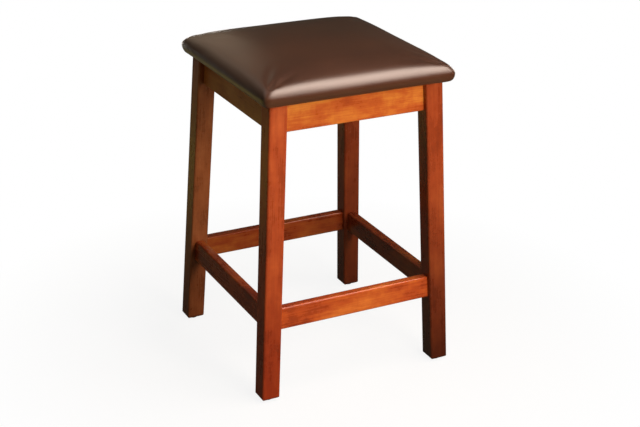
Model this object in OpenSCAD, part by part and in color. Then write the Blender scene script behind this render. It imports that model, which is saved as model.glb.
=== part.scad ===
// Backless bar stool with a splayed hardwood frame and an upholstered seat pad.
// The floor is z = 0, the front faces -Y, and the origin lies on the floor under the seat's middle.

/* [Frame] */
// Height of the wooden frame, from the floor to the top of the aprons
frame_h = 610; // [500:5:700]
// Width over the legs at the top of the frame
top_w = 372; // [320:2:430]
// Depth over the legs at the top of the frame
top_d = 372; // [320:2:430]
// How far a leg spreads outward in width, from top to floor
spread_w = 28; // [0:1:45]
// How far a leg spreads outward in depth, from top to floor
spread_d = 28; // [0:1:45]

/* [Legs] */
// Side of a leg's square section
leg_t = 38; // [34:1:46]
// Radius along a leg's long edges
leg_r = 4; // [1:0.5:6]
// Radius round a leg's foot
foot_r = 8; // [1:0.5:9]

/* [Aprons] */
// Height of an apron
apron_h = 60; // [48:1:90]
// Thickness of an apron
apron_t = 20; // [16:1:22]
// Distance from the legs' outer faces in to an apron's outer face
apron_in = 12; // [6:1:14]
// Radius along an apron's lower edges
apron_r = 3; // [0.5:0.5:5]

/* [Stretchers] */
// Height of a stretcher's underside above the floor
stretcher_z = 148; // [90:1:300]
// Height of a stretcher
stretcher_h = 46; // [34:1:70]
// Thickness of a stretcher
stretcher_t = 20; // [16:1:24]
// Distance from the legs' outer faces in to a stretcher's outer face
stretcher_in = 10; // [4:1:12]
// Radius along a stretcher's long edges
stretcher_r = 4; // [0.5:0.5:6]

/* [Joints] */
// Thickness of a tenon
tenon_t = 9; // [6:0.5:12]
// Wood left above and below a tenon on the end of a rail
tenon_shoulder = 9; // [5:0.5:14]
// Clearance between a tenon and its mortise, on every side
joint_gap = 0.15; // [0.05:0.05:0.4]
// Gap between the mitred ends of two tenons that meet inside a leg
mitre_gap = 1.5; // [0.5:0.1:3]

/* [Corner blocks] */
// Height of a corner block
block_h = 22; // [16:1:30]
// How far a corner block runs along each apron
block_reach = 70; // [60:1:80]
// Thickness of a corner block's ends
block_end = 12; // [8:1:16]
// Drop from the top of the frame to the top of a corner block
block_drop = 5; // [3:0.5:10]
// Clearance between a corner block and the leg's inner edge
block_gap = 1; // [0.3:0.1:3]

/* [Seat pad] */
// How far the pad's lower edge stands out past the legs
overhang = 14; // [6:1:24]
// How far the pad's side swells out past its lower edge
swell = 8; // [3:0.5:12]
// Height above the frame at which the pad is widest
swell_z = 17; // [12:1:22]
// Height of the pad's rim above the frame
rim_h = 39; // [32:1:55]
// Rise of the pad's middle above its rim
crown = 17; // [6:1:30]
// Width of the soft round shoulder between the pad's side and its top
shoulder = 34; // [18:1:40]
// Radius of the pad's corners, seen from above
pad_r = 16; // [12:1:40]
// How far the rim drops at the pad's corners, where the cover is pulled down tightest
corner_drop = 8; // [0:0.5:12]
// How far the pad's sides draw in between its corners
side_draw = 1.5; // [0:0.5:4]
// Thickness of the seat board
board_t = 12; // [9:1:18]
// Thickness of the cover
cover_t = 1.2; // [0.8:0.1:2]
// How far the cover turns in under the seat board
turn_in = 66; // [60:1:72]
// Gap between the soft layers and what they lie on
soft_gap = 0.3; // [0.2:0.1:0.6]
// Thickness of the dust cloth
cloth_t = 0.5; // [0.3:0.1:1]
// Gap between the dust cloth's edge and the legs' inner faces
cloth_gap = 2; // [1:0.5:5]

/* [Glides] */
// Diameter of a glide under a leg
glide_d = 20; // [14:1:28]
// Height of a glide
glide_h = 4; // [3:0.5:6]
// Chamfer round a glide's lower rim
glide_chamfer = 1.5; // [0.5:0.5:2.5]
// Diameter of a glide's pin
glide_pin_d = 3.2; // [2.5:0.1:5]
// Length of a glide's pin
glide_pin_l = 16; // [10:1:25]

/* [Fixings] */
// Diameter of a wood screw
screw_d = 4; // [3:0.5:5]
// Diameter of a screw's head
screw_head_d = 8; // [6:0.5:10]
// Height of a screw's head
screw_head_h = 2.6; // [1.5:0.1:4]
// Length of a seat screw under its head
seat_screw_l = 36; // [30:1:38]
// Length of a corner block screw under its head
block_screw_l = 25; // [20:1:28]
// Wood under the head of a corner block screw
block_wing = 12; // [8:1:14]
// Distance from a corner block screw to the end of its block
block_screw_in = 12; // [8:1:16]
// Gap between a fixing and its hole, all round
hole_gap = 0.1; // [0.05:0.05:0.3]
// Gap between a screw's head and its counterbore, all round
head_gap = 0.6; // [0.3:0.1:1.5]
// Width of a staple's crown
staple_w = 10; // [6:1:13]
// Length of a staple's legs
staple_l = 8; // [6:1:10]
// Thickness of a staple's wire
staple_wire = 0.6; // [0.4:0.1:1]
// Number of cover staples along each side; one cloth staple stands between every two
staples_n = 7; // [3:1:9]

/* [Hidden] */
$fn = 48;

// Overrun of every cut past the face it opens
cut = 5;
// How far a tenon's root runs back inside its rail
tenon_root = 6;

// A rail's height above the floor, height, thickness, inset and edge radius
apron = [frame_h - apron_h, apron_h, apron_t, apron_in, apron_r];
stretcher = [stretcher_z, stretcher_h, stretcher_t, stretcher_in, stretcher_r];

// Lean of the frame's faces, and of a leg, which leans both ways
lean_w = atan(spread_w / frame_h);
lean_d = atan(spread_d / frame_h);
leg_lean_d = atan(spread_d / frame_h * cos(lean_w));
leg_len = norm([spread_w, spread_d, frame_h]) + leg_t;
// Tilts of the planes that round a foot
foot_tilts = [22.5, 45, 67.5];
// Side of a square that covers the whole stool from above
footprint = 2 * max(top_w / 2 + spread_w, top_d / 2 + spread_d) + 2 * leg_t;

// Distance from the legs' outer faces in to an apron's inner face
apron_inner = apron_in + apron_t;
// Side of the square hole that a staple's leg makes in the dust cloth
staple_hole = staple_wire + 2 * hole_gap;
// The pad's half sizes at its widest
pad_w = top_w / 2 + overhang + swell;
pad_d = top_d / 2 + overhang + swell;
// The dust cloth's half sizes, and those of the opening inside the turned-in cover
cloth_w = top_w / 2 - leg_t - cloth_gap;
cloth_d = top_d / 2 - leg_t - cloth_gap;
open_w = top_w / 2 + overhang - turn_in;
open_d = top_d / 2 + overhang - turn_in;
// The staples run along the middle of the band where the cloth laps the cover
staple_line_w = (cloth_w + open_w) / 2;
staple_line_d = (cloth_d + open_d) / 2;
cloth_bottom = frame_h - staple_wire - cloth_t;

// Points round a pad corner's arc and along a pad side, rings up its side and round its shoulder
corner_steps = 4;
side_steps = 6;
side_rings = 2;
shoulder_rings = 5;
// Angle at which the shoulder runs into the top, and the scale of each ring of the top
shoulder_end = 75;
crown_shares = [0.93, 0.82, 0.66, 0.46, 0.23];
// Power that keeps the drop of the rim close to the corners
drop_power = 5;

// A corner block's place: its underside, its far ends and its ends' inner faces
block_z = frame_h - block_drop - block_h;
block_far = apron_inner + block_reach;
block_near = apron_inner + block_end;
block_clip = 2 * (leg_t + block_gap);
// A seat screw stands halfway between the block's clipped corner and its long face
seat_screw_at = (block_clip + block_far + block_near) / 4;

// Half of the width, or depth, over the legs at a height above the floor
function half_w(z) = top_w / 2 + spread_w * (frame_h - z) / frame_h;
function half_d(z) = top_d / 2 + spread_d * (frame_h - z) / frame_h;

// Puts the back right corner's shape at any corner
module at_corner(x_side, y_side) {
    mirror([x_side < 0 ? 1 : 0, 0, 0])
        mirror([0, y_side < 0 ? 1 : 0, 0])
            children();
}

// The leg's own frame: its origin is the outer corner at the top, and z runs up the leg
module in_leg() {
    translate([top_w / 2, top_d / 2, frame_h])
        rotate([leg_lean_d, -lean_w, 0])
            children();
}

// The frame of a leaning face: y points out of it and z up along it; side 0 is the back, side 1 the right
module in_face(side) {
    if (side == 0)
        translate([0, top_d / 2, frame_h]) rotate([lean_d, 0, 0]) children();
    else
        translate([top_w / 2, 0, frame_h]) rotate([0, -lean_w, 0]) rotate([0, 0, -90]) children();
}

// A height above the floor, as a place along a leaning face
function face_z(side, z) = (z - frame_h) / cos(side == 0 ? lean_d : lean_w);

module rounded_rect(w, h, r) {
    translate([-w / 2, r - h / 2]) square([w, h - 2 * r]);
    translate([r - w / 2, -h / 2]) square([w - 2 * r, h]);
    for (x = [-1, 1], y = [-1, 1])
        translate([x * (w / 2 - r), y * (h / 2 - r)]) circle(r);
}

// All that lies between two heights
module between(z0, z1) {
    translate([-footprint / 2, -footprint / 2, z0]) cube([footprint, footprint, z1 - z0]);
}

// The square stick that a leg is cut from
module leg_stock() {
    in_leg() translate([-leg_t, -leg_t, -leg_len]) cube([leg_t, leg_t, leg_len + leg_t]);
}

module leg_stick() {
    in_leg()
        translate([-leg_t / 2, -leg_t / 2, -leg_len])
            linear_extrude(leg_len + leg_t) rounded_rect(leg_t, leg_t, leg_r);
}

// The half of a leg, on one side of its diagonal, where the tenons of one side may run
// A gap below 0 runs past the diagonal
module mitre_half(side, gap) {
    far = leg_t + tenon_root + cut;
    points = [[-far, gap - far], [-far, cut], [cut - gap, cut]];
    in_leg()
        translate([0, 0, -leg_len])
            linear_extrude(leg_len + leg_t)
                polygon([for (p = points) side == 0 ? p : [p[1], p[0]]]);
}

// The tenon on the end of a rail, at the back right corner; grow makes it the mortise
module tenon(side, rail, grow = 0) {
    z0 = face_z(side, rail[0]) + tenon_shoulder - grow;
    h = rail[1] - 2 * tenon_shoulder + 2 * grow;
    t = tenon_t + 2 * grow;
    end = side == 0 ? half_w(rail[0]) : half_d(rail[0]);
    intersection() {
        in_face(side)
            mirror([side, 0, 0])
                translate([end - leg_t - tenon_root, -rail[3] - rail[2] / 2 - t / 2, z0])
                    cube([leg_t + tenon_root, t, h]);
        mitre_half(side, grow > 0 ? -grow : mitre_gap);
    }
}

// The plain bar of a rail, out to the legs' centre lines; over makes it taller
module rail_bar(side, rail, over = 0) {
    mid = rail[0] + rail[1] / 2;
    half = (side == 0 ? half_w(mid) : half_d(mid)) - leg_t / 2;
    in_face(side)
        translate([0, -rail[3] - rail[2] / 2, face_z(side, rail[0]) + (rail[1] + over) / 2])
            rotate([90, 0, 90])
                linear_extrude(2 * half, center = true)
                    rounded_rect(rail[2], rail[1] + over, rail[4]);
}

// A rail with its ends seated on the legs, and a tenon at each end
module rail(side, rail, over = 0) {
    difference() {
        rail_bar(side, rail, over);
        for (end = [-1, 1])
            at_corner(side == 0 ? end : 1, side == 0 ? 1 : end) leg_stock();
    }
    for (end = [-1, 1])
        at_corner(side == 0 ? end : 1, side == 0 ? 1 : end) tenon(side, rail);
}

module leg(x_side, y_side) {
    color("#8c3d20")
        at_corner(x_side, y_side)
            difference() {
                intersection() {
                    leg_stick();
                    between(glide_h, frame_h);
                }
                for (side = [0, 1]) {
                    tenon(side, apron, joint_gap);
                    tenon(side, stretcher, joint_gap);
                }
                foot_cuts();
                at_foot()
                    translate([0, 0, -cut])
                        cylinder(d = glide_pin_d + 2 * hole_gap, h = glide_pin_l + hole_gap + cut);
            }
}

// The middle of a leg's foot, where its glide meets it
module at_foot() {
    translate([half_w(glide_h) - leg_t / 2, half_d(glide_h) - leg_t / 2, glide_h]) children();
}

// What rounds the four edges of a foot: planes that touch the round, each at its own tilt
module foot_cuts() {
    wide = 2 * leg_t;
    r = min(foot_r, (leg_t - glide_d) / 2);
    for (turn = [0 : 3], tilt = foot_tilts)
        at_foot()
            rotate([0, 0, 90 * turn])
                translate([leg_t / 2 - r + r * sin(tilt), 0, r - r * cos(tilt)])
                    rotate([0, -tilt, 0])
                        translate([-wide / 2, -wide / 2, -wide])
                            cube([wide, wide, wide]);
}

module apron_rail(side, way) {
    color("#a9552a")
        mirror([side == 1 && way < 0 ? 1 : 0, side == 0 && way < 0 ? 1 : 0, 0])
            difference() {
                intersection() {
                    rail(side, apron, apron_t);
                    between(0, frame_h);
                }
                for (end = [-1, 1])
                    at_corner(side == 0 ? end : 1, side == 0 ? 1 : end)
                        block_screw_place(side)
                            cylinder(d = screw_d + 2 * hole_gap, h = block_screw_l + hole_gap);
            }
}

module stretcher_rail(side, way) {
    color("#93451f")
        mirror([side == 1 && way < 0 ? 1 : 0, side == 0 && way < 0 ? 1 : 0, 0])
            rail(side, stretcher);
}

// A block screw at the back right corner: z runs into the apron, from under the screw's head
module block_screw_place(side) {
    mid = block_z + block_h / 2;
    along = block_far - block_screw_in;
    head = apron_inner + block_wing;
    if (side == 0)
        translate([half_w(mid) - along, half_d(mid) - head, mid]) rotate([-90, 0, 0]) children();
    else
        translate([half_w(mid) - head, half_d(mid) - along, mid]) rotate([0, 90, 0]) children();
}

// A seat screw at the back right corner: z runs up into the seat board, from under the screw's head
module seat_screw_place() {
    translate([top_w / 2 - seat_screw_at, top_d / 2 - seat_screw_at, block_z]) children();
}

// A block glued into the corner between two aprons, clipped clear of the leg
module corner_block(x_side, y_side) {
    mid = block_z + block_h / 2;
    deep = apron_inner - apron_t / 2;
    clip = block_clip - deep;
    outline = [
        [deep, clip], [clip, deep], [block_far, deep],
        [block_far, block_near], [block_near, block_far], [deep, block_far]
    ];
    color("#c08a56")
        at_corner(x_side, y_side)
            difference() {
                translate([0, 0, block_z])
                    linear_extrude(block_h)
                        polygon([for (p = outline) [half_w(mid) - p[0], half_d(mid) - p[1]]]);
                for (side = [0, 1]) {
                    rail_bar(side, apron, apron_t);
                    block_screw_place(side) {
                        translate([0, 0, -cut])
                            cylinder(d = screw_d + 2 * hole_gap, h = block_screw_l + cut);
                        translate([0, 0, -block_reach])
                            cylinder(d = screw_head_d + 2 * head_gap, h = block_reach);
                    }
                }
                seat_screw_place()
                    translate([0, 0, -cut])
                        cylinder(d = screw_d + 2 * hole_gap, h = block_h + 2 * cut);
            }
}

module glide(x_side, y_side) {
    rim = glide_d / 2;
    profile = [
        [0, 0], [rim - glide_chamfer, 0], [rim, glide_chamfer], [rim, glide_h], [glide_pin_d / 2, glide_h],
        [glide_pin_d / 2, glide_h + glide_pin_l - glide_pin_d], [0, glide_h + glide_pin_l]
    ];
    color("#26241f")
        at_corner(x_side, y_side)
            at_foot()
                translate([0, 0, -glide_h])
                    rotate_extrude() polygon(profile);
}

// A point on the arc of one corner of a rectangle with round corners; the corners count from the back right
function arc_point(q, k, w, d, r) =
    let (x = q == 0 || q == 3 ? 1 : -1, y = q < 2 ? 1 : -1, a = 90 * (q + k / corner_steps))
    [x * (w - r), y * (d - r)] + r * [cos(a), sin(a)];

// A closed ring of points round such a rectangle, whose sides draw in between its corners
function outline(w, d, r, draw) = [
    for (q = [0 : 3])
        each concat(
            [for (k = [0 : corner_steps]) arc_point(q, k, w, d, r)],
            [for (k = [1 : side_steps - 1])
                let (
                    a = arc_point(q, corner_steps, w, d, r),
                    b = arc_point((q + 1) % 4, 0, w, d, r),
                    out = 90 * (q + 1)
                )
                a + (b - a) * k / side_steps - draw * sin(180 * k / side_steps) * [cos(out), sin(out)]
            ]
        )
];

// How far a point of the pad drops, on a ring with these half sizes
function drop_at(p, w, d) = corner_drop * pow(abs(p[0] / w * p[1] / d), drop_power);

// A ring of the pad, drawn in from its widest outline, at one height above the frame
// Its corners take a share of the rim's drop
function pad_ring(inset, z, share) =
    let (w = pad_w - inset, d = pad_d - inset)
    [for (p = outline(w, d, pad_r, side_draw)) [p[0], p[1], z - share * drop_at(p, w, d)]];

// A ring of the pad's top: the rim's outline scaled down, and raised by the crown
function crown_ring(inset, z, share) =
    let (w = pad_w - inset, d = pad_d - inset)
    [
        for (p = outline(share * w, share * d, share * pad_r, share * side_draw))
            [p[0], p[1], z + crown * (1 - pow(p[0] / w, 2)) * (1 - pow(p[1] / d, 2)) - drop_at(p, w, d)]
    ];

// The pad's closed form above a height, made smaller by the layers that lie outside it
module pad_form(shrink, low) {
    rim_z = rim_h - shrink;
    rim_inset = shrink + shoulder * (1 - cos(shoulder_end));
    rings = [
        for (k = [0 : side_rings])
            let (z = low + (swell_z - low) * k / side_rings)
            pad_ring(shrink + swell * pow(1 - z / swell_z, 2), z, 0),
        for (k = [1 : shoulder_rings])
            let (a = shoulder_end * k / shoulder_rings, up = sin(a) / sin(shoulder_end))
            pad_ring(shrink + shoulder * (1 - cos(a)), swell_z + (rim_z - swell_z) * up, up),
        for (share = crown_shares) crown_ring(rim_inset, rim_z, share)
    ];
    n = len(rings[0]);
    last = len(rings) - 1;
    points = concat([for (r = rings) each r], [[0, 0, low], [0, 0, rim_z + crown]]);
    bottom = n * len(rings);
    faces = [
        for (j = [0 : last - 1], i = [0 : n - 1])
            let (a = j * n + i, b = j * n + (i + 1) % n)
            each [[a, a + n, b + n], [a, b + n, b]],
        for (i = [0 : n - 1])
            each [[bottom, i, (i + 1) % n], [bottom + 1, last * n + (i + 1) % n, last * n + i]]
    ];
    translate([0, 0, frame_h]) polyhedron(points, faces);
}

// The board's outline, inside the cover's lower edge
module board_plate(gap) {
    w = top_w / 2 + overhang - cover_t - soft_gap + gap;
    d = top_d / 2 + overhang - cover_t - soft_gap + gap;
    translate([0, 0, frame_h + cover_t])
        linear_extrude(board_t + gap)
            rounded_rect(2 * w, 2 * d, pad_r - cover_t - soft_gap);
}

module seat_board() {
    color("#c9a36c")
        difference() {
            board_plate(0);
            for (x = [-1, 1], y = [-1, 1])
                at_corner(x, y)
                    seat_screw_place()
                        cylinder(d = screw_d + 2 * hole_gap, h = seat_screw_l + hole_gap);
        }
}

// The foam over the board, folded down past the board's edge
module seat_foam() {
    color("#e6d9a8")
        difference() {
            pad_form(cover_t + soft_gap, cover_t + soft_gap);
            board_plate(soft_gap);
            translate([0, 0, -cut]) board_plate(soft_gap);
        }
}

// The cover: drawn over the foam, round the board's lower edge and turned in under it
module seat_cover() {
    color("#4b3226")
        difference() {
            pad_form(0, 0);
            pad_form(cover_t, cover_t);
            translate([-open_w, -open_d, frame_h - cut]) cube([2 * open_w, 2 * open_d, cover_t + 2 * cut]);
        }
}

module dust_cloth() {
    color("#1d1c1b")
        difference() {
            translate([-cloth_w, -cloth_d, cloth_bottom]) cube([2 * cloth_w, 2 * cloth_d, cloth_t]);
            for (x = [-1, 1], y = [-1, 1])
                at_corner(x, y)
                    seat_screw_place()
                        cylinder(d = screw_d + 2 * hole_gap, h = block_h + block_drop + cut);
            translate([0, 0, cloth_bottom])
                staple_rows(staples_n - 1)
                    for (x = [-1, 1])
                        translate([x * (staple_w - staple_wire) / 2, 0, 0])
                            cube([staple_hole, staple_hole, 2 * cut], center = true);
        }
}

// Puts a staple at each place of the four rows, with its crown along the row
module staple_rows(count) {
    for (side = [0, 1], way = [-1, 1], k = [0 : count - 1]) {
        row = side == 0 ? staple_line_d : staple_line_w;
        pitch = 2 * ((side == 0 ? staple_line_w : staple_line_d) - staple_w) / staples_n;
        rotate([0, 0, 90 * side])
            translate([(k - (count - 1) / 2) * pitch, way * row, 0])
                children();
    }
}

// A staple driven upward: its crown lies under z = 0 and its legs point up
module staple() {
    w = staple_w / 2;
    inner = w - staple_wire;
    rotate([90, 0, 0])
        linear_extrude(staple_wire, center = true)
            polygon([
                [-w, -staple_wire], [w, -staple_wire], [w, staple_l], [inner, staple_l],
                [inner, 0], [-inner, 0], [-inner, staple_l], [-w, staple_l]
            ]);
}

module cover_staples() {
    color("#b6b3a8") translate([0, 0, frame_h]) staple_rows(staples_n) staple();
}

module cloth_staples() {
    color("#b6b3a8") translate([0, 0, cloth_bottom]) staple_rows(staples_n - 1) staple();
}

// A wood screw, with its head below the origin and its point up
module screw(length) {
    translate([0, 0, -screw_head_h]) cylinder(d = screw_head_d, h = screw_head_h);
    rotate_extrude()
        polygon([[0, 0], [screw_d / 2, 0], [screw_d / 2, length - screw_d], [0, length]]);
}

module block_screws() {
    color("#b6b3a8")
        for (x = [-1, 1], y = [-1, 1], side = [0, 1])
            at_corner(x, y) block_screw_place(side) screw(block_screw_l);
}

module seat_screws() {
    color("#b6b3a8")
        for (x = [-1, 1], y = [-1, 1])
            at_corner(x, y) seat_screw_place() screw(seat_screw_l);
}

leg(-1, -1);  // leg_front_left
leg(1, -1);  // leg_front_right
leg(-1, 1);  // leg_back_left
leg(1, 1);  // leg_back_right
apron_rail(0, -1);  // apron_front
apron_rail(0, 1);  // apron_back
apron_rail(1, -1);  // apron_left
apron_rail(1, 1);  // apron_right
stretcher_rail(0, -1);  // stretcher_front
stretcher_rail(0, 1);  // stretcher_back
stretcher_rail(1, -1);  // stretcher_left
stretcher_rail(1, 1);  // stretcher_right
corner_block(-1, -1);  // corner_block_front_left
corner_block(1, -1);  // corner_block_front_right
corner_block(-1, 1);  // corner_block_back_left
corner_block(1, 1);  // corner_block_back_right
glide(-1, -1);  // glide_front_left
glide(1, -1);  // glide_front_right
glide(-1, 1);  // glide_back_left
glide(1, 1);  // glide_back_right
seat_board();
seat_foam();
seat_cover();
dust_cloth();
block_screws();
seat_screws();
cover_staples();
cloth_staples();
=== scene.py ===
# %% [markdown]
# # A backless bar stool in Blender
# The wooden frame, its fixings and the seat board come in as finished solids, in metres, with +Z up and the
# floor at z = 0. Here they get their finishes: stained and lacquered hardwood, raw beech, plywood, nylon
# and zinc-plated steel. The seat pad is soft, so it is made again as upholstery: a foam pad, a vinyl cover
# that a cloth simulation draws tight over it, and a dust cloth under the board.

# %% Load the frame and measure it
import math

import bpy
import numpy as np
from mathutils import Matrix, Vector, noise


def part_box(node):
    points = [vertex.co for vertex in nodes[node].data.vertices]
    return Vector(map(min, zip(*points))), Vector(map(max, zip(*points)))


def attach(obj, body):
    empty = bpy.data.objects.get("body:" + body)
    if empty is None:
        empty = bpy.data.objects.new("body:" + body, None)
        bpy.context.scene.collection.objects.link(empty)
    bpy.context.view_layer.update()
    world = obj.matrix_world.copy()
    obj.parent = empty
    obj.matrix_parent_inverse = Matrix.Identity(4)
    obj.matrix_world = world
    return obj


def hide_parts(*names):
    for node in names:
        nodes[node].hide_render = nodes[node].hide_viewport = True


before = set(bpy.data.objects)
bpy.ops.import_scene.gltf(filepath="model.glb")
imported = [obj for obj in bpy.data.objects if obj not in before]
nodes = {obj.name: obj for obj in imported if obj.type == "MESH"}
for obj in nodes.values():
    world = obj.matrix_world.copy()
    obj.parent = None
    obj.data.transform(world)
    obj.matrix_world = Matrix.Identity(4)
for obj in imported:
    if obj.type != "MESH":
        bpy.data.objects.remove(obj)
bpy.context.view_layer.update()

scene = bpy.context.scene
mm = 0.001

print("nodes:", len(nodes))

# %% [markdown]
# ## Colours and shader nodes
# Colours are written as hex codes, as a paint chart or a picture editor shows them. Blender's shaders work
# in linear light, so one function turns each code into linear numbers. A second function adds a shader node
# with its settings and its links in one call, which keeps every material below short enough to read.

# %% Helpers for colours and shader nodes
def linear(code, share=1.0):
    """A hex colour as linear red, green and blue, times a share, with an alpha of 1."""
    channels = [int(code[i:i + 2], 16) / 255 for i in (1, 3, 5)]
    # the sRGB curve: a straight line near black, and a power curve above it
    return [share * (c / 12.92 if c <= 0.04045 else ((c + 0.055) / 1.055) ** 2.4) for c in channels] + [1.0]


def add_node(material, kind, inputs=None, **settings):
    """Adds a node. Each input is a value, or another node's output socket, which is linked to it."""
    node = material.node_tree.nodes.new(kind)
    for name, value in settings.items():
        setattr(node, name, value)
    for name, value in (inputs or {}).items():
        if isinstance(value, bpy.types.NodeSocket):
            material.node_tree.links.new(value, node.inputs[name])
        else:
            node.inputs[name].default_value = value
    return node


def new_material(name, **constants):
    """A material and its Principled shader, with the values that are the same all over the surface."""
    material = bpy.data.materials.new(name)
    material.use_nodes = True
    shader = material.node_tree.nodes["Principled BSDF"]
    for socket, value in constants.items():
        shader.inputs[socket.replace("_", " ")].default_value = value
    return material, shader


def plug(material, source, node, socket):
    """Links an output to one of a node's sockets."""
    material.node_tree.links.new(source, node.inputs[socket])


def colour_ramp(material, factor, stops):
    """A colour ramp with stops of (position, linear colour)."""
    ramp = add_node(material, "ShaderNodeValToRGB", {"Fac": factor})
    elements = ramp.color_ramp.elements
    while len(elements) < len(stops):
        elements.new(0.5)
    for element, (position, colour) in zip(elements, stops):
        element.position = position
        element.color = colour
    return ramp.outputs["Color"]


def spread(material, value, low, high, to_low, to_high):
    """Maps a value from one range to another, and keeps it inside."""
    limits = {"Value": value, "From Min": low, "From Max": high, "To Min": to_low, "To Max": to_high}
    return add_node(material, "ShaderNodeMapRange", limits).outputs["Result"]


def dress(piece, material):
    """Gives a piece one material all over."""
    piece.data.materials.clear()
    piece.data.materials.append(material)

# %% [markdown]
# ## Camera
# The camera stands where the photographer stood: 27 degrees round to the left of the front, 23 degrees up,
# and tipped by 1 degree. At 2.9 m a 78 mm lens shows the stool at the photograph's size, with its mild
# convergence. The matrix is built from the camera's own right and up directions, so there is nothing to aim
# by hand.

# %% Place the camera
CAMERA_PLACE = Vector((-1.2153, -2.3727, 1.4418))
CAMERA_RIGHT = Vector((0.89028, -0.45515, 0.01555))
CAMERA_UP = Vector((0.16799, 0.35994, 0.91773))
# both in millimetres, as on a camera
FOCAL_LENGTH = 78.3
SENSOR_WIDTH = 36


def make_camera():
    camera = bpy.data.objects.new("camera", bpy.data.cameras.new("camera"))
    camera.data.lens = FOCAL_LENGTH
    camera.data.sensor_width = SENSOR_WIDTH
    backward = CAMERA_RIGHT.cross(CAMERA_UP)
    axes = Matrix((CAMERA_RIGHT, CAMERA_UP, backward)).transposed()
    camera.matrix_world = Matrix.Translation(CAMERA_PLACE) @ axes.to_4x4()
    scene.collection.objects.link(camera)
    scene.camera = camera
    return camera


camera = make_camera()
print("camera height in m:", round(camera.location.z, 2))

# %% [markdown]
# ## Floor and light
# The photograph shows the stool on plain white, yet its shaded sides are nearly black: a white floor that
# was really lit to white would fill them. So the paper is a dull olive grey to the light and white to the
# camera, which Light Path's rays tell apart. Rays through glass see the white too. Glossy rays see a
# fiftieth of it, because the whole of it would turn the dark lacquer milky. Near the stool some of the lit
# paper shows, with the stool's soft shadow on it.

# %% Paper floor
WHITE = (1, 1, 1, 1)
PAPER_TO_LIGHT = "#5E5842"
# the camera sees a brighter paper under the shadow than the one that lights the stool
PAPER_TO_CAMERA = (0.9, 0.9, 0.9, 1)
PAPER_GLOSS = 0.02
# how much of the lit paper shows near the stool, and the distances in metres over which it fades to white
PAPER_SHADOW_SHARE = 0.12
PAPER_SHADOW_FADE = (0.3, 0.8)


def paper_rays(material):
    """How much white each kind of ray sees: all for the camera and through glass, part for glossy rays."""
    rays = add_node(material, "ShaderNodeLightPath").outputs
    seen = {0: rays["Is Camera Ray"], 1: rays["Is Transmission Ray"]}
    white = add_node(material, "ShaderNodeMath", seen, operation="MAXIMUM").outputs[0]
    glossy = {0: rays["Is Glossy Ray"], 1: PAPER_GLOSS, 2: white}
    return add_node(material, "ShaderNodeMath", glossy, operation="MULTIPLY_ADD", use_clamp=True).outputs[0]


def mix_shaders(material, share, first, second):
    """The first shader, with a share of the second over it."""
    return add_node(material, "ShaderNodeMixShader", {0: share, 1: first, 2: second}).outputs[0]


def paper_material():
    material, paper = new_material("studio_paper", Roughness=0.9)
    paper.inputs["Base Color"].default_value = linear(PAPER_TO_LIGHT)
    place = add_node(material, "ShaderNodeNewGeometry").outputs["Position"]
    away = add_node(material, "ShaderNodeVectorMath", {0: place}, operation="LENGTH").outputs["Value"]
    far = spread(material, away, *PAPER_SHADOW_FADE, 1 - PAPER_SHADOW_SHARE, 1.0)
    shares = {0: far, 1: paper_rays(material)}
    share = add_node(material, "ShaderNodeMath", shares, operation="MULTIPLY").outputs[0]
    white = add_node(material, "ShaderNodeEmission", {"Color": WHITE, "Strength": 1.0}).outputs[0]
    bright = add_node(material, "ShaderNodeBsdfDiffuse", {"Color": PAPER_TO_CAMERA}).outputs[0]
    camera_ray = add_node(material, "ShaderNodeLightPath").outputs["Is Camera Ray"]
    lit = mix_shaders(material, camera_ray, paper.outputs[0], bright)
    mixed = mix_shaders(material, share, lit, white)
    plug(material, mixed, material.node_tree.nodes["Material Output"], "Surface")
    return material


def make_floor(half_side=8.0):
    mesh = bpy.data.meshes.new("floor")
    corners = [(x * half_side, y * half_side, 0) for x, y in ((-1, -1), (1, -1), (1, 1), (-1, 1))]
    mesh.from_pydata(corners, [], [(0, 1, 2, 3)])
    floor = bpy.data.objects.new("floor", mesh)
    scene.collection.objects.link(floor)
    dress(floor, paper_material())
    return floor


floor = make_floor()
print("floor in m:", [round(side, 1) for side in floor.dimensions.xy])

# %% [markdown]
# The world is dim and a little warm, and white only to the rays that see the paper. The lamps are
# softboxes, which the camera doesn't see. The key is a large one, low in front and to the right: it lights
# every front face and leaves the left faces dark. Glossy rays don't see it, so it is a glare on nothing.
# The seat and shoulder lamps hang over the front of the seat, whose shoulder mirrors both of them in one
# broad highlight. The top lamp and a small lamp close behind give the pad's top its sheen. The paper lamp
# lights the paper behind on the left, and the left faces mirror that olive glow. The left, back and side
# lamps are for the other views.

# %% World and lamps
def make_world(strength, tint):
    world = bpy.data.worlds.new("studio")
    scene.world = world
    world.use_nodes = True
    dim = world.node_tree.nodes["Background"]
    dim.inputs["Color"].default_value = linear(tint)
    dim.inputs["Strength"].default_value = strength
    white = add_node(world, "ShaderNodeBackground", {"Color": WHITE, "Strength": 1.0}).outputs[0]
    mixed = mix_shaders(world, paper_rays(world), dim.outputs[0], white)
    plug(world, mixed, world.node_tree.nodes["World Output"], "Surface")


def make_softbox(name, place, aim, size, watts, tint, spread_angle=180, mirrored=True):
    """A lamp with its place, the point it is aimed at and its size, all in metres."""
    data = bpy.data.lights.new(name, "AREA")
    data.shape = "RECTANGLE"
    data.size, data.size_y = size
    data.energy = watts
    data.color = linear(tint)[:3]
    data.spread = math.radians(spread_angle)
    softbox = bpy.data.objects.new(name, data)
    softbox.location = place
    softbox.rotation_euler = (Vector(aim) - Vector(place)).to_track_quat("-Z", "Y").to_euler()
    softbox.visible_camera = False
    softbox.visible_glossy = mirrored
    scene.collection.objects.link(softbox)
    return softbox


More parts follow.
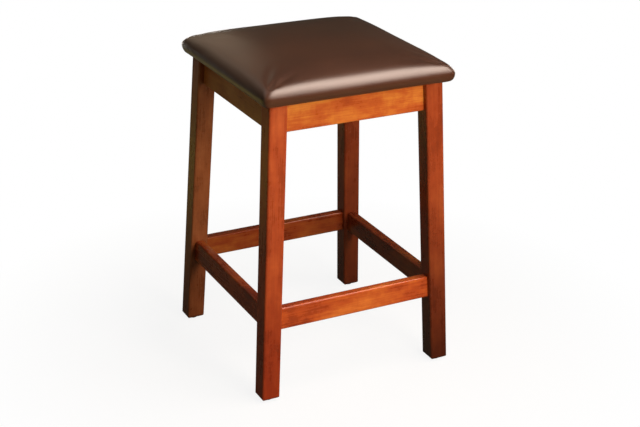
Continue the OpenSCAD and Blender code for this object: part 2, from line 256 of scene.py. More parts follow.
make_world(strength=0.035, tint="#EBDDA8")
softboxes = [
    make_softbox("key_softbox", (0.28, -1.75, 0.86), (0, 0, 0.36), (0.6, 1.1), 30, "#FFF0E0", mirrored=False),
    make_softbox("seat_softbox", (0.48, -0.48, 1.60), (0, -0.24, 0.64), (0.75, 1.15), 2.3, "#FFEADA", 55),
    make_softbox("shoulder_softbox", (0.62, -1.25, 1.5), (0, -0.19, 0.66), (0.8, 0.7), 4.2, "#FFEEE0"),
    make_softbox("left_softbox", (-2.2, -0.4, 1.2), (0, 0, 0.4), (1.5, 1.5), 3.6, "#F4E6B8"),
    make_softbox("top_softbox", (-0.45, 0.3, 1.35), (-0.15, 0.05, 0.65), (0.6, 0.6), 0.5, "#FFF4EA"),
    make_softbox("sheen_softbox", (-0.12, 0.8, 0.95), (-0.15, 0.05, 0.66), (0.5, 0.3), 0.22, "#FFE8C8"),
    make_softbox("paper_softbox", (-0.85, 1.15, 0.5), (-0.85, 1.15, 0), (0.9, 0.7), 5, "#F0E070", 100),
    make_softbox("back_softbox", (0.1, 2.3, 0.3), (0, 0, 0.3), (1.2, 0.5), 9, "#FFF6EC"),
    make_softbox("side_softbox", (2.1, 0.9, 0.6), (0, 0, 0.35), (1.0, 0.8), 12, "#FFF6EC"),
]
print("softboxes:", len(softboxes), "with", round(sum(box.data.energy for box in softboxes), 1), "W in all")

# %% [markdown]
# ## Stained hardwood
# The legs and rails are a pale, even hardwood, such as rubberwood, planed, stained red-brown and sprayed
# with satin lacquer. Stain soaks in unevenly, so the colour drifts between orange and a deep red-brown over
# 170 mm of a piece, with smaller clouds of 25 to 60 mm, and a slight curl in the grain mottles it faintly
# every 8 mm. The growth rings are streaks along the piece, 3 mm apart, and the pores short dark flecks. A
# pore is really 0.2 mm wide, too fine for this picture, so it is drawn 0.6 mm wide. Lacquer over it all
# gives the even satin gloss.
#
# Every board has its own grain, so each piece gets its own material: the same recipe, turned so that the
# grain runs along the piece, and shifted so that no two pieces match.

# %% Wood recipe
# each pattern's width across the grain and its length along it
DRIFT = (70 * mm, 170 * mm)
CLOUD = (24 * mm, 60 * mm)
MOTTLE = (15 * mm, 8 * mm)
STREAK = (2.6 * mm, 90 * mm)
FLECK = (1.1 * mm, 3.5 * mm)
PORE = (0.6 * mm, 3 * mm)
# the part of the noise that is a pore, the share of light a pore keeps, and its depth
PORE_EDGE = (0.58, 0.72)
PORE_SHADE = 0.9
PORE_DEPTH = 0.08 * mm
# where the dark, middle and light stain lie in the tone's range
STAIN_STOPS = (0.30, 0.50, 0.72)
# the lacquer's roughness over the middle of the tone's range
TONE_MIDDLE = (0.35, 0.65)
LACQUER_ROUGHNESS = (0.25, 0.34)
# a leg's painted shade towards its foot fades out at this height in metres; above it the leg has its full
# colour
FOOT_TOP = 0.42


def object_place(material):
    """The place in the piece's own space, in metres."""
    return add_node(material, "ShaderNodeTexCoord").outputs["Object"]


def add_relief(material, shader, height, strength, depth):
    """A bump that tilts the surface by a height. It returns the tilted normal."""
    relief = {"Height": height, "Strength": strength, "Distance": depth}
    normal = add_node(material, "ShaderNodeBump", relief).outputs[0]
    plug(material, normal, shader, "Normal")
    return normal


def dimmed(material, colour, share):
    """A colour times a share that may differ from place to place."""
    scaled = {0: colour, "Scale": share}
    return add_node(material, "ShaderNodeVectorMath", scaled, operation="SCALE").outputs[0]


def along_grain(material, place, size, detail=2.0, distortion=0.0, roughness=0.5):
    """Noise whose cells have a width across the grain and a length along it, which is the place's z."""
    width, length = size
    scale = (1 / width, 1 / width, 1 / length)
    scaled = add_node(material, "ShaderNodeMapping", {"Vector": place, "Scale": scale}).outputs[0]
    look = {"Vector": scaled, "Scale": 1.0, "Detail": detail}
    look.update({"Roughness": roughness, "Distortion": distortion})
    return add_node(material, "ShaderNodeTexNoise", look).outputs["Fac"]


def board_place(material, grain, offset):
    """The place inside a board: z runs along the grain, and the offset picks where it was cut from."""
    place = object_place(material)
    turn = Vector(grain).normalized().rotation_difference(Vector((0, 0, 1))).to_euler()
    turned = add_node(material, "ShaderNodeMapping", {"Vector": place, "Rotation": turn, "Location": offset})
    return turned.outputs[0]


def weighted_sum(material, parts):
    """The sum of noises times their weights, round a middle of 0.5."""
    total = 0.5 - sum(weight for _, weight in parts) / 2
    for value, weight in parts:
        added = {0: value, 1: weight, 2: total}
        total = add_node(material, "ShaderNodeMath", added, operation="MULTIPLY_ADD").outputs[0]
    return total


def stained_hardwood(name, grain, offset, tones, foot):
    """Stained, lacquered hardwood with a dark, middle and light stain, and a painted shade towards the foot.
    """
    material, shader = new_material(name, IOR=1.5, Coat_Weight=0.15, Coat_Roughness=0.15)
    place = board_place(material, grain, offset)
    drift = along_grain(material, place, DRIFT, detail=1.0)
    clouds = along_grain(material, place, CLOUD, detail=3.0, roughness=0.55)
    mottle = along_grain(material, place, MOTTLE, detail=2.0, distortion=0.3)
    streaks = along_grain(material, place, STREAK, detail=2.0, distortion=0.15)
    flecks = along_grain(material, place, FLECK, detail=1.0)
    pores = along_grain(material, place, PORE, detail=1.0)

    parts = [(drift, 0.6), (clouds, 0.65), (mottle, 0.14), (streaks, 0.3), (flecks, 0.04)]
    tone = weighted_sum(material, parts)
    stain = colour_ramp(material, tone, list(zip(STAIN_STOPS, tones)))
    stain = dimmed(material, stain, spread(material, pores, *PORE_EDGE, 1.0, PORE_SHADE))
    height = add_node(material, "ShaderNodeSeparateXYZ", {0: object_place(material)}).outputs["Z"]
    # painted shade: the stain darkens towards the foot
    low = colour_ramp(material, height, [(0.0, foot), (FOOT_TOP, WHITE)])
    colour = add_node(material, "ShaderNodeVectorMath", {0: stain, 1: low}, operation="MULTIPLY").outputs[0]
    plug(material, colour, shader, "Base Color")

    plug(material, spread(material, tone, *TONE_MIDDLE, *LACQUER_ROUGHNESS), shader, "Roughness")
    add_relief(material, shader, pores, 0.3, -PORE_DEPTH)
    return material

# %% [markdown]
# The pieces weren't cut from one board. In the photograph the front apron is the brightest and most orange,
# the front legs are a little redder, and the pieces at the back and on the right are darker, mostly because
# the stool shades them. Each kind of piece has three stains from dark to light, and the back left leg and
# the left apron have browner ones of their own, with a painted olive sheen in them. Single pieces are darker
# by a share, which is mostly painted shade, and the legs darken towards their feet in a painted shade.

# %% Stain every leg and rail
STAINS = {
    "leg": ("#8E3A1C", "#A84824", "#C05E30"),
    "apron": ("#A84820", "#C25E28", "#E08E3A"),
    "stretcher": ("#90361A", "#BC5022", "#DC7A34"),
    # the back left leg and the left apron: browner stains with a painted olive sheen in them
    "leg_back_left": ("#7A4426", "#965530", "#AC6A42"),
    "apron_left": ("#96542C", "#B46C38", "#C8864A"),
}
# how much darker single pieces are: a painted shade for the pieces at the back, on the right and the left
# stretcher, which the stool itself shades, with some deeper stain on the front right leg; the front apron and
# stretcher are only a little darker
SHADE_AND_STAIN = {
    "leg_front_right": 0.8, "leg_back_right": 0.75, "stretcher_back": 0.5,
    "stretcher_right": 0.36, "stretcher_left": 0.75, "stretcher_front": 0.92, "apron_front": 0.95,
}
# the colour a leg's stain is multiplied by at the floor: a painted shade where less light reaches the feet
FOOT_SHADE = {
    "leg_front_left": "#D0A094", "leg_front_right": "#6E5E58",
    "leg_back_left": "#D8CCC8", "leg_back_right": "#A8A0A0",
}
LEG_THICKNESS = 38 * mm
# where the first piece was cut from the wood, and how far on the next one
FIRST_CUT = (0.1, 0.25, 0.4)
NEXT_CUT = (0.37, 0.61, 0.29)


def grain_direction(node_name):
    """A leg leans outward to the floor in width and in depth; a rail runs level along its side."""
    low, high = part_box(node_name)
    if not node_name.startswith("leg_"):
        return Vector((1, 0, 0)) if high.x - low.x > high.y - low.y else Vector((0, 1, 0))
    x = -1 if "left" in node_name else 1
    y = -1 if "front" in node_name else 1
    lean_x = high.x - low.x - LEG_THICKNESS
    lean_y = high.y - low.y - LEG_THICKNESS
    return Vector((-x * lean_x, -y * lean_y, high.z - low.z))


wooden = sorted(name for name in nodes if name.split("_")[0] in STAINS)
for number, node_name in enumerate(wooden):
    share = SHADE_AND_STAIN.get(node_name, 1.0)
    stains = STAINS.get(node_name, STAINS[node_name.split("_")[0]])
    tones = [linear(code, share) for code in stains]
    offset = tuple(step * number + first for step, first in zip(NEXT_CUT, FIRST_CUT))
    grain = grain_direction(node_name)
    foot = linear(FOOT_SHADE.get(node_name, "#FFFFFF"))
    wood = stained_hardwood("stained_hardwood_" + node_name, grain, offset, tones, foot)
    dress(nodes[node_name], wood)
print("stained pieces:", len(wooden))

# %% [markdown]
# ## The seat pad's shape
# The pad is foam on a board, with the cover pulled down over its sides and turned in under the board.
# Pulled so, foam gives a low crown in the middle, soft round shoulders along the sides and tighter, lower
# corners.
#
# The mesh starts as a square grid. The grid itself is the pad's top, and rings round its edge run over the
# shoulder, down the side and in under the board. It is all quads, and no pole in the middle pinches the
# highlight. The grid's lines crowd towards the corners, where the folds need them, so the quads are nearly
# square in the middle and on the diagonals, and long and narrow along the edges.

# %% Sizes of the pad
cover_low, cover_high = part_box("seat_cover")
PAD_HALF = cover_high.x
PAD_BOTTOM = cover_low.z
PAD_TOP = cover_high.z
# the side's profile from the top's edge down: inset from the widest line and height above the bottom, in mm
SIDE_PROFILE = [(26, 41.6), (21.2, 40.2), (16.6, 38.0), (12.2, 34.8), (8.2, 31.2), (4.6, 27.2), (1.8, 23.2),
                (0.4, 19.2), (0, 15), (1.0, 9.5), (3.5, 4.2), (8, 0)]
RIM = SIDE_PROFILE[0][1] * mm
WIDEST = 17 * mm
CROWN = PAD_TOP - PAD_BOTTOM - RIM
# a higher power makes the middle of the crown flatter
CROWN_POWER = 2.1
CORNER_RADIUS = 14 * mm
CORNER_DROP = 8 * mm
# how quickly the drop comes in towards a corner, and the share of a ring's inset that goes there
CORNER_POWER = 5
CORNER_TIGHT = 0.4
print("pad in mm:", round(2 * PAD_HALF / mm), "wide,", round((PAD_TOP - PAD_BOTTOM) / mm), "high")

# %% Grid and rings of the pad
TOP_CELLS = 24
CROWDING = 1.5
LEAST_HEIGHT = 0.4 * mm


def grid_lines(cells):
    """Positions from -1 to 1 that crowd towards the ends."""
    steps = np.linspace(0, 1, cells + 1)
    half = 1 - (1 - steps) ** CROWDING
    return np.concatenate([-half[:0:-1], half])


def edge_order(cells):
    """The grid's outer vertices in order round its edge, as row and column."""
    last = 2 * cells
    right = [(k, last) for k in range(last)]
    back = [(last, last - k) for k in range(last)]
    left = [(last - k, 0) for k in range(last)]
    front = [(0, k) for k in range(last)]
    return right + back + left + front


def at_edge(u, v):
    """The parts of two square grids at their outer vertices, in order round the edge."""
    rows, columns = np.array(edge_order(len(u) // 2)).T
    return u[rows, columns], v[rows, columns]


def rounded(u, v, half, radius):
    """Points of a square grid, -1 to 1 each way, moved onto a square of some half side with round corners."""
    x, y = u * half, v * half
    over_x, over_y = np.abs(x) - (half - radius), np.abs(y) - (half - radius)
    in_corner = (over_x > 0) & (over_y > 0)
    reach = np.maximum(over_x, over_y)
    length = np.where(in_corner, np.hypot(over_x, over_y), 1)
    squeeze = np.where(in_corner, reach / length, 1)
    x = np.where(in_corner, np.sign(x) * (half - radius + over_x * squeeze), x)
    y = np.where(in_corner, np.sign(y) * (half - radius + over_y * squeeze), y)
    return x, y


def tighter(u, v, inset):
    """The inset of a ring is smaller at the corners, where the foam's square corner fills the cover."""
    return inset * (1 - CORNER_TIGHT * np.abs(u * v) ** CORNER_POWER)


def pad_top(shrink):
    """The grid of the pad's top, drawn in by shrink."""
    lines = grid_lines(TOP_CELLS)
    v, u = np.meshgrid(lines, lines, indexing="ij")
    inner = PAD_HALF - shrink - tighter(u, v, SIDE_PROFILE[0][0] * mm)
    x, y = rounded(u, v, inner, CORNER_RADIUS)
    z = RIM - shrink + CROWN * (1 - np.abs(u) ** CROWN_POWER) * (1 - np.abs(v) ** CROWN_POWER)
    z -= CORNER_DROP * np.abs(u * v) ** CORNER_POWER
    return u, v, np.stack([x, y, z + PAD_BOTTOM], axis=-1)


def pad_side(shrink):
    """Inset, height and share of the corner drop of each ring, from the shoulder to the lower edge."""
    for inset, height in SIDE_PROFILE[1:]:
        height = height * mm * (1 - shrink / RIM)
        yield inset * mm, max(height, LEAST_HEIGHT), max(0, (height - WIDEST) / (RIM - WIDEST))


def ring_points(u, v, half, height, drop=0.0, radius=CORNER_RADIUS):
    """A ring round the pad at one height, with its corners dropped."""
    x, y = rounded(u, v, half, radius)
    return np.stack([x, y, PAD_BOTTOM + height - drop * np.abs(u * v) ** CORNER_POWER], axis=-1)


def band(before, now):
    """The quads between two rings of vertices."""
    return list(zip(before, now, now[1:] + now[:1], before[1:] + before[:1]))


def mesh_of_rings(name, grid, rings, close=None):
    """A mesh of a grid and the rings outside it; close is a second grid that fills the last ring."""
    size = grid.shape[0]
    order = [i * size + j for i, j in edge_order((size - 1) // 2)]
    cells = [(i, j) for i in range(size - 1) for j in range(size - 1)]
    points = list(grid.reshape(-1, 3))
    faces = [(i * size + j, i * size + j + 1, (i + 1) * size + j + 1, (i + 1) * size + j) for i, j in cells]
    before = order
    for ring in rings:
        now = list(range(len(points), len(points) + len(order)))
        points += list(ring)
        faces += band(before, now)
        before = now
    if close is not None:
        start = len(points)
        points += list(close.reshape(-1, 3))
        faces += band(before, [start + i for i in order])
        faces += [tuple(start + i for i in reversed(face)) for face in faces[:len(cells)]]
    mesh = bpy.data.meshes.new(name)
    mesh.from_pydata([tuple(p) for p in points], [], faces)
    mesh.shade_smooth()
    piece = bpy.data.objects.new(name, mesh)
    scene.collection.objects.link(piece)
    return piece


steps = np.diff(grid_lines(TOP_CELLS)) * (PAD_HALF / mm - SIDE_PROFILE[0][0])
print("cells of the grid in mm, from edge to middle:", round(steps.min(), 1), "to", round(steps.max(), 1))

# %% [markdown]
# ## The cover as cloth
# As drawn, the cover is the foam's form and nothing more. Vinyl under tension rounds its own edges: it
# stands a little off the shoulders and bellies between the corners. Blender's cloth solver finds that
# shape. The band under the board is stapled, so those vertices are pinned. The foam's push is a pressure
# from inside, its grip is a light pin on all the other vertices, and gravity is off. Twenty frames are
# enough. The foam behind the cover doesn't give way, so no vertex may move inward, and none may move
# further than a few millimetres from where the upholsterer put it.

# %% Cover and its simulation
# the cover starts a little inside its final form, and swells into it
COVER_START = 1.6 * mm
# the band under the board: how far it is turned in, where it starts, and how high it lies
TURN_IN = 66 * mm
FLANGE_RINGS = 6
FLANGE_START = 1.5 * mm
FLANGE_HEIGHT = 0.1 * mm
MOST_MOVE = 5 * mm
VINYL_STIFFNESS = 40
VINYL_BENDING = 1.0
FOAM_HOLD = 0.15
CLOTH_FRAMES = 20
CLOTH_QUALITY = 6


def make_cover():
    u, v, top = pad_top(COVER_START)
    u, v = at_edge(u, v)
    half = PAD_HALF - COVER_START
    rings = [ring_points(u, v, half - tighter(u, v, inset), height, share * CORNER_DROP)
             for inset, height, share in pad_side(COVER_START)]
    for k in range(FLANGE_RINGS):
        inset = SIDE_PROFILE[-1][0] * mm + FLANGE_START + (TURN_IN - FLANGE_START) * k / (FLANGE_RINGS - 1)
        rings.append(ring_points(u, v, PAD_HALF - inset, FLANGE_HEIGHT, radius=CORNER_RADIUS / (1 + k / 2)))
    return mesh_of_rings("vinyl_cover", top, rings)


def coordinates(mesh):
    flat = np.empty(3 * len(mesh.vertices))
    mesh.vertices.foreach_get("co", flat)
    return flat.reshape(-1, 3)


def set_coordinates(mesh, points):
    mesh.vertices.foreach_set("co", points.ravel())
    mesh.update()


def vertex_normals(mesh):
    return np.array([vertex.normal for vertex in mesh.vertices])


def draw_tight(piece, pinned, pressure):
    """Runs the cloth solver on a piece, and keeps its result without the modifier."""
    before = coordinates(piece.data)
    held = piece.vertex_groups.new(name="held")
    held.add(list(range(len(before))), FOAM_HOLD, "REPLACE")
    held.add(pinned, 1.0, "REPLACE")
    cloth = piece.modifiers.new("cloth", "CLOTH")
    cloth.settings.quality = CLOTH_QUALITY
    cloth.settings.vertex_group_mass = held.name
    cloth.settings.tension_stiffness = VINYL_STIFFNESS
    cloth.settings.compression_stiffness = VINYL_STIFFNESS
    cloth.settings.bending_stiffness = VINYL_BENDING
    cloth.settings.use_pressure = True
    cloth.settings.uniform_pressure_force = pressure
    cloth.settings.effector_weights.gravity = 0
    for frame_number in range(1, CLOTH_FRAMES + 1):
        scene.frame_set(frame_number)
    after = coordinates(piece.evaluated_get(bpy.context.evaluated_depsgraph_get()).data)
    piece.modifiers.remove(cloth)
    scene.frame_set(1)
    outward = vertex_normals(piece.data)
    move = after - before
    inward = np.minimum(0, np.sum(move * outward, axis=1, keepdims=True))
    move = move - inward * outward
    distance = np.linalg.norm(move, axis=1, keepdims=True)
    set_coordinates(piece.data, before + move * np.minimum(1, MOST_MOVE / np.maximum(distance, 1e-9)))
    moved = [round(value / mm, 1) for value in (distance.max(), distance.mean())]
    print("cloth moved in mm, before the limit: up to", moved[0], "and on average", moved[1])
    print("moves of over 0.5 mm inward that the foam stopped:", int((inward < -0.5 * mm).sum()))


cover = make_cover()
TOP_POINTS = (2 * TOP_CELLS + 1) ** 2
ring_size = 8 * TOP_CELLS
stapled_count = FLANGE_RINGS * ring_size
total = len(cover.data.vertices)
draw_tight(cover, list(range(total - stapled_count, total)), pressure=4)
print("cover vertices:", total, "of which stapled:", stapled_count)
middle = TOP_POINTS + ring_size - TOP_CELLS
profile = coordinates(cover.data)[middle:total - stapled_count:ring_size]
print("front side, inset and height in mm:",
      [(round((PAD_HALF + y) / mm, 1), round((z - PAD_BOTTOM) / mm, 1)) for _, y, z in profile])

# %% [markdown]
# ## Corner folds
# A flat sheet pulled down over a corner has cloth to spare. The upholsterer lays it into one pleat at each
# corner: the front and the back of the cover lap over the sides, and the lap ends in a line down the
# corner. The line shows as a step of about one thickness, which fades into the side. It is pressed into the
# mesh here, by moving vertices along their normals, because it is finer than the simulation's mesh can
# find.
#
# Foam never lies quite even, so a broad, shallow unevenness of the top and the sides breaks up the
# reflections. Then the mesh is subdivided once, and a Solidify modifier gives the vinyl its thickness
# inward.

# %% Press in the folds
LAP_STEP = 1.3 * mm
# the lap's edge runs this far from the corner, and bellies out by this much
LAP_NEAR = 3 * mm
LAP_BELLY = 6 * mm
# the step is this wide, and fades into the side over this length
LAP_WIDTH = 2.5 * mm
LAP_FADE = 26 * mm
# it is only where the surface looks sideways, and it fades out up the shoulder
SIDEWAYS = (0.55, 0.85)
LAP_TOP = (WIDEST + 6 * mm, RIM - 3 * mm)
UNEVEN_DEPTH = 0.5 * mm
UNEVEN_SIZE = 90 * mm
# the unevenness comes in over these heights
UNEVEN_FROM = (4 * mm, 14 * mm)
COVER_THICKNESS = 1.2 * mm


def smooth_step(value, low, high):
    t = np.clip((value - low) / (high - low), 0, 1)
    return t * t * (3 - 2 * t)


def press_folds(piece):
    points = coordinates(piece.data)
    normals = vertex_normals(piece.data)
    height = points[:, 2] - PAD_BOTTOM
    from_corner = PAD_HALF - np.abs(points[:, 1])
    lap_edge = LAP_NEAR + LAP_BELLY * np.sin(np.pi * np.clip(height / (RIM - CORNER_DROP), 0, 1))
    past_edge = from_corner - lap_edge
    on_side = smooth_step(np.abs(normals[:, 0]), *SIDEWAYS)
    beside_lap = smooth_step(past_edge, 0, LAP_WIDTH) * np.exp(-np.maximum(past_edge, 0) / LAP_FADE)
    down = 1 - smooth_step(height, *LAP_TOP)
    step = -LAP_STEP * on_side * beside_lap * down
    set_coordinates(piece.data, points + normals * step[:, None])


def soften_top(piece):
    points = coordinates(piece.data)
    normals = vertex_normals(piece.data)
    waves = np.array([noise.noise(Vector(p) / UNEVEN_SIZE) for p in points])
    free = smooth_step(points[:, 2] - PAD_BOTTOM, *UNEVEN_FROM)
    set_coordinates(piece.data, points + normals * (UNEVEN_DEPTH * waves * free)[:, None])


press_folds(cover)
soften_top(cover)
smooth = cover.modifiers.new("subdivision", "SUBSURF")
smooth.levels = 1
smooth.render_levels = 1
thickness = cover.modifiers.new("thickness", "SOLIDIFY")
thickness.thickness = COVER_THICKNESS
thickness.offset = -1
print("cover top in mm:", round((coordinates(cover.data)[:, 2].max() - PAD_BOTTOM) / mm, 1))

# %% [markdown]
# ## Vinyl
# Upholstery vinyl is a knitted cloth with a PVC skin, embossed with a fine leather grain of about 1 mm. It
# is drawn 2 mm here, so that it shows. The skin is a dark brown, and a clear topcoat gives it a satin
# gloss: broad, soft highlights and no mirror image. The topcoat follows the grain, so it takes the same
# bump as the skin.

# %% Vinyl cover material
GRAIN_SIZE = 2.0 * mm
GRAIN_DEPTH = 0.22 * mm
# the skin drifts nine times in a metre, and its roughness with it
SKIN_DRIFT = 9.0
SKIN_MIDDLE = (0.3, 0.7)
SKIN_ROUGHNESS = (0.37, 0.42)


def even_noise(material, place, scale, detail):
    """Noise that is the same in every direction."""
    look = {"Vector": place, "Scale": scale, "Detail": detail}
    return add_node(material, "ShaderNodeTexNoise", look).outputs["Fac"]


def cell_distance(material, place, size, **settings):
    """Distances inside the cells of a Voronoi pattern of one size."""
    look = {"Vector": place, "Scale": 1 / size}
    return add_node(material, "ShaderNodeTexVoronoi", look, **settings).outputs["Distance"]


def embossed_vinyl():
    coat = {"Coat_Weight": 1.0, "Coat_Roughness": 0.34, "Coat_IOR": 1.6}
    material, shader = new_material("embossed_vinyl", IOR=1.6, **coat)
    place = object_place(material)
    drift = even_noise(material, place, SKIN_DRIFT, 3.0)
    skin = colour_ramp(material, drift, [(0.3, linear("#46271A")), (0.7, linear("#522F1E"))])
    plug(material, skin, shader, "Base Color")
    pebbles = cell_distance(material, place, GRAIN_SIZE, feature="DISTANCE_TO_EDGE")
    height = {0: pebbles, 1: 0.5, 2: even_noise(material, place, 0.6 / GRAIN_SIZE, 4.0)}
    height = add_node(material, "ShaderNodeMath", height, operation="MULTIPLY_ADD").outputs[0]
    grain = add_relief(material, shader, height, 0.7, GRAIN_DEPTH)
    plug(material, grain, shader, "Coat Normal")
    plug(material, spread(material, drift, *SKIN_MIDDLE, *SKIN_ROUGHNESS), shader, "Roughness")
    return material


dress(cover, embossed_vinyl())
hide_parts("seat_cover")
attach(cover, "root")
print("vinyl grain as drawn, in mm:", GRAIN_SIZE / mm)

# %% [markdown]
# ## Foam
# The foam fills the cover, so its outer form is taken from the finished cover: every vertex moved inward by
# the cover's thickness and a little clearance. Underneath it is hollow where the board lies in it.
# Upholstery foam is cut from a block of pale yellow polyurethane. The cut opens its cells, so it is fully
# matt, with pits of about 1 mm. The cover hides it, and it is finished all the same.

# %% Foam pad
FOAM_GAP = 0.7 * mm
# the hollow is this much larger than the board, with corners of this radius
BOARD_GAP = 0.3 * mm
HOLLOW_RADIUS = 12 * mm
_, board_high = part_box("seat_board")


def make_foam():
    inward = COVER_THICKNESS + FOAM_GAP
    points = coordinates(cover.data) - inward * vertex_normals(cover.data)
    points[:, 2] = np.maximum(points[:, 2], PAD_BOTTOM + inward)
    grid = points[:TOP_POINTS].reshape(2 * TOP_CELLS + 1, 2 * TOP_CELLS + 1, 3)
    rings = list(points[TOP_POINTS:].reshape(-1, ring_size, 3)[:len(SIDE_PROFILE) - 1])
    u, v, _ = pad_top(inward)
    board_half = board_high.x + BOARD_GAP
    for height in (inward, board_high.z - PAD_BOTTOM + BOARD_GAP):
        rings.append(ring_points(*at_edge(u, v), board_half, height, radius=HOLLOW_RADIUS))
    ceiling_x, ceiling_y = rounded(u, v, board_half - mm, HOLLOW_RADIUS)
    ceiling = np.stack([ceiling_x, ceiling_y, np.full_like(u, board_high.z + BOARD_GAP)], axis=-1)
    return mesh_of_rings("foam_pad", grid, rings, ceiling)


foam = make_foam()
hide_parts("seat_foam")
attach(foam, "root")
print("foam vertices:", len(foam.data.vertices))

# %% Foam finish
PIT_SIZE = 1.2 * mm
PIT_DEPTH = 0.4 * mm


def cut_foam():
    material, shader = new_material("cut_polyurethane_foam", Roughness=0.95)
    pits = cell_distance(material, object_place(material), PIT_SIZE)
    # the pits are painted darker: a painted shade in the hollows
    colour = colour_ramp(material, pits, [(0.0, linear("#C9B26A")), (0.5, linear("#E9D99A"))])
    plug(material, colour, shader, "Base Color")
    add_relief(material, shader, pits, 0.8, PIT_DEPTH)
    return material


dress(foam, cut_foam())
print("foam pits in mm:", PIT_SIZE / mm)

# %% [markdown]
# ## Dust cloth
# A black spunbonded cloth closes the underside. It is cut 10 mm too large on every side, its edges are
# folded under, and it is stapled round them, so it sags a little in the middle and ripples near the edge.
# It is a felt of fine plastic fibres pressed together in small points about 1.5 mm apart: matt black, and
# a little paler where the fibres lie loose.

# %% Dust cloth piece
cloth_low, cloth_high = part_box("dust_cloth")
CLOTH_HEM = 10 * mm
CLOTH_SAG = 1.6 * mm
# small ripples near the edge: their depth, and how many there are on half a side
RIPPLE_DEPTH = 0.4 * mm
RIPPLES = 6
CLOTH_CELLS = 24
CLOTH_THICKNESS = 0.25 * mm
# the cloth over the bottom of its solid, the hem over the cloth, and how far the fold runs in
CLOTH_LIFT = 0.1 * mm
HEM_LIFT = 0.25 * mm
HEM_FOLD = 0.2 * mm
FIBRE_SIZE = 1.5 * mm
POINT_SIZE = 1.6 * mm
POINT_DEPTH = 0.15 * mm


def make_dust_cloth():
    """A sheet with a doubled hem: the grid is the cloth and one ring turned back over it is the hem."""
    lines = grid_lines(CLOTH_CELLS)
    v, u = np.meshgrid(lines, lines, indexing="ij")
    half = cloth_high.x
    level = cloth_low.z + CLOTH_LIFT
    edge = np.maximum(np.abs(u), np.abs(v))
    between = np.sin(u * math.pi * RIPPLES) ** 2 * np.sin(v * math.pi * RIPPLES) ** 2
    sag = CLOTH_SAG * (1 - edge ** 3) + RIPPLE_DEPTH * between * edge ** 4
    grid = np.stack([u * half, v * half, level - sag], axis=-1)
    u, v = at_edge(u, v)
    back = [np.stack([u * inner, v * inner, np.full_like(u, level + HEM_LIFT)], axis=-1)
            for inner in (half - HEM_FOLD, half - CLOTH_HEM)]
    return mesh_of_rings("dust_cloth_sheet", grid, back)


def spunbonded_cloth():
    material, shader = new_material("black_spunbonded_cloth", Roughness=0.9)
    place = object_place(material)
    fibres = even_noise(material, place, 1 / FIBRE_SIZE, 4.0)
    points = cell_distance(material, place, POINT_SIZE)
    tone = weighted_sum(material, [(fibres, 1.0), (points, 0.5)])
    colour = colour_ramp(material, tone, [(0.3, linear("#0E0E0E")), (0.7, linear("#2C2B29"))])
    plug(material, colour, shader, "Base Color")
    add_relief(material, shader, points, 0.5, POINT_DEPTH)
    return material


dust_cloth = make_dust_cloth()
sheet_thickness = dust_cloth.modifiers.new("thickness", "SOLIDIFY")
sheet_thickness.thickness = CLOTH_THICKNESS
dress(dust_cloth, spunbonded_cloth())
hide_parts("dust_cloth")
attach(dust_cloth, "root")

# %% [markdown]
# ## Hidden wood
# The corner blocks are beech, sawn and left raw: pale, with short brown flecks. The seat board is 12 mm
# plywood of nine plies. Its faces show a broad rotary-cut figure, and its edges light and dark bands in
# turn. A band is drawn two plies thick, so there are about five.

# %% Raw beech and plywood
# the thickness of one ply, which is half a band on the board's edge
PLY = 12 / 9 * mm
PLY_FIGURE = (18 * mm, 160 * mm)
BEECH_STREAK = (3 * mm, 80 * mm)
BEECH_FLECK = (0.8 * mm, 3 * mm)
# the part of the noise that is a fleck, and the share of light a fleck keeps
FLECK_EDGE = (0.58, 0.70)
FLECK_SHADE = 0.7
SAW_DEPTH = 0.2 * mm


def raw_beech(name, grain, offset):
    material, shader = new_material(name, Roughness=0.75, IOR=1.45)
    place = board_place(material, grain, offset)
    streaks = along_grain(material, place, BEECH_STREAK, detail=3.0, distortion=0.2)
    flecks = along_grain(material, place, BEECH_FLECK, detail=1.0)
    wood = colour_ramp(material, streaks, [(0.35, linear("#A8794C")), (0.65, linear("#C49A68"))])
    colour = dimmed(material, wood, spread(material, flecks, *FLECK_EDGE, 1.0, FLECK_SHADE))
    plug(material, colour, shader, "Base Color")
    add_relief(material, shader, streaks, 0.4, SAW_DEPTH)
    return material


def birch_plywood():
    material, shader = new_material("birch_plywood", Roughness=0.7, IOR=1.45)
    figure = along_grain(material, board_place(material, (1, 0, 0), (0, 0, 0)), PLY_FIGURE, detail=4.0)
    face = colour_ramp(material, figure, [(0.35, linear("#B9905C")), (0.65, linear("#D6B27C"))])
    height = add_node(material, "ShaderNodeSeparateXYZ", {0: object_place(material)}).outputs["Z"]
    plies = add_node(material, "ShaderNodeMath", {0: height, 1: 2 * PLY}, operation="PINGPONG").outputs[0]
    plies = add_node(material, "ShaderNodeMath", {0: plies, 1: 2 * PLY}, operation="DIVIDE").outputs[0]
    edge = colour_ramp(material, plies, [(0.3, linear("#7A5430")), (0.6, linear("#D0A870"))])
    # the surface's own direction tells a face of the board from an edge
    normal = add_node(material, "ShaderNodeNewGeometry").outputs["Normal"]
    up = add_node(material, "ShaderNodeSeparateXYZ", {0: normal}).outputs["Z"]
    flat = add_node(material, "ShaderNodeMath", {0: up}, operation="ABSOLUTE").outputs[0]
    # the Mix node's inputs 6 and 7 are its two colours, and its output 2 is the mixed one
    colours = {"Factor": flat, 6: edge, 7: face}
    colour = add_node(material, "ShaderNodeMix", colours, data_type="RGBA").outputs[2]
    plug(material, colour, shader, "Base Color")
    return material


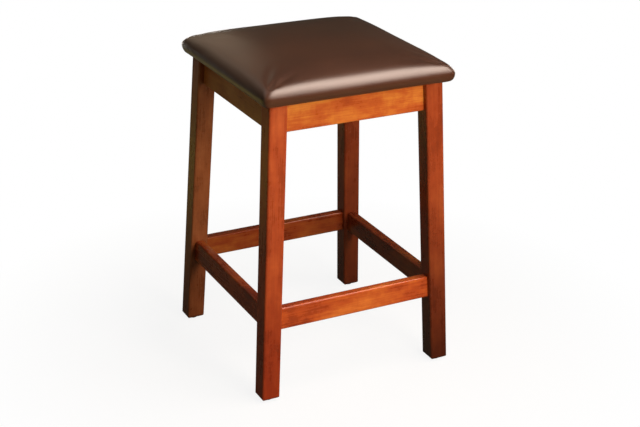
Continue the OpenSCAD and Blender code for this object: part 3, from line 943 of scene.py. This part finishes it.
blocks = sorted(name for name in nodes if name.startswith("corner_block_"))
for number, node_name in enumerate(blocks):
    # the grain runs along a diagonal: that is the long way of the back blocks, but the short way of the
    # front ones
    diagonal = (1, 1 - 2 * (number % 2), 0)
    beech = raw_beech("raw_beech_" + node_name, diagonal, (0.2 * number, 0.3, 0.5))
    dress(nodes[node_name], beech)
dress(nodes["seat_board"], birch_plywood())
print("corner blocks:", len(blocks), "and bands of", round(2 * PLY / mm, 2), "mm on the board's edge")

# %% [markdown]
# ## Glides and fixings
# The glides are black nylon, moulded, with a fine spark-eroded texture and the scuffs of a stool that gets
# pushed about. Screws and staples are steel with a thin, clear zinc plating: a slightly uneven satin grey.

# %% Nylon and zinc
SCUFF_SIZE = 4 * mm
SCUFFED = (0.4, 0.7)
NYLON_ROUGHNESS = (0.38, 0.6)
NYLON_DEPTH = 0.1 * mm
SPANGLE_SIZE = 1.5 * mm
SPANGLE_MIDDLE = (0.35, 0.65)
ZINC_ROUGHNESS = (0.28, 0.42)


def moulded_nylon():
    material, shader = new_material("moulded_nylon", IOR=1.53)
    scuffs = even_noise(material, object_place(material), 1 / SCUFF_SIZE, 5.0)
    colour = colour_ramp(material, scuffs, [(0.4, linear("#151412")), (0.7, linear("#34302B"))])
    plug(material, colour, shader, "Base Color")
    plug(material, spread(material, scuffs, *SCUFFED, *NYLON_ROUGHNESS), shader, "Roughness")
    add_relief(material, shader, scuffs, 0.4, NYLON_DEPTH)
    return material


def zinc_plate():
    material, shader = new_material("zinc_plated_steel", Metallic=1.0)
    spangle = even_noise(material, object_place(material), 1 / SPANGLE_SIZE, 3.0)
    colour = colour_ramp(material, spangle, [(0.35, linear("#A8A69C")), (0.65, linear("#CFCDC2"))])
    plug(material, colour, shader, "Base Color")
    plug(material, spread(material, spangle, *SPANGLE_MIDDLE, *ZINC_ROUGHNESS), shader, "Roughness")
    return material


nylon = moulded_nylon()
zinc = zinc_plate()
glides = [name for name in nodes if name.startswith("glide_")]
fixings = [name for name in nodes if name.endswith(("_screws", "_staples"))]
for node_name in glides:
    dress(nodes[node_name], nylon)
for node_name in fixings:
    dress(nodes[node_name], zinc)
print("glides:", len(glides), "and groups of fixings:", len(fixings))

# %% [markdown]
# ## Finish

# %% Finish
scene.view_settings.view_transform = "Standard"
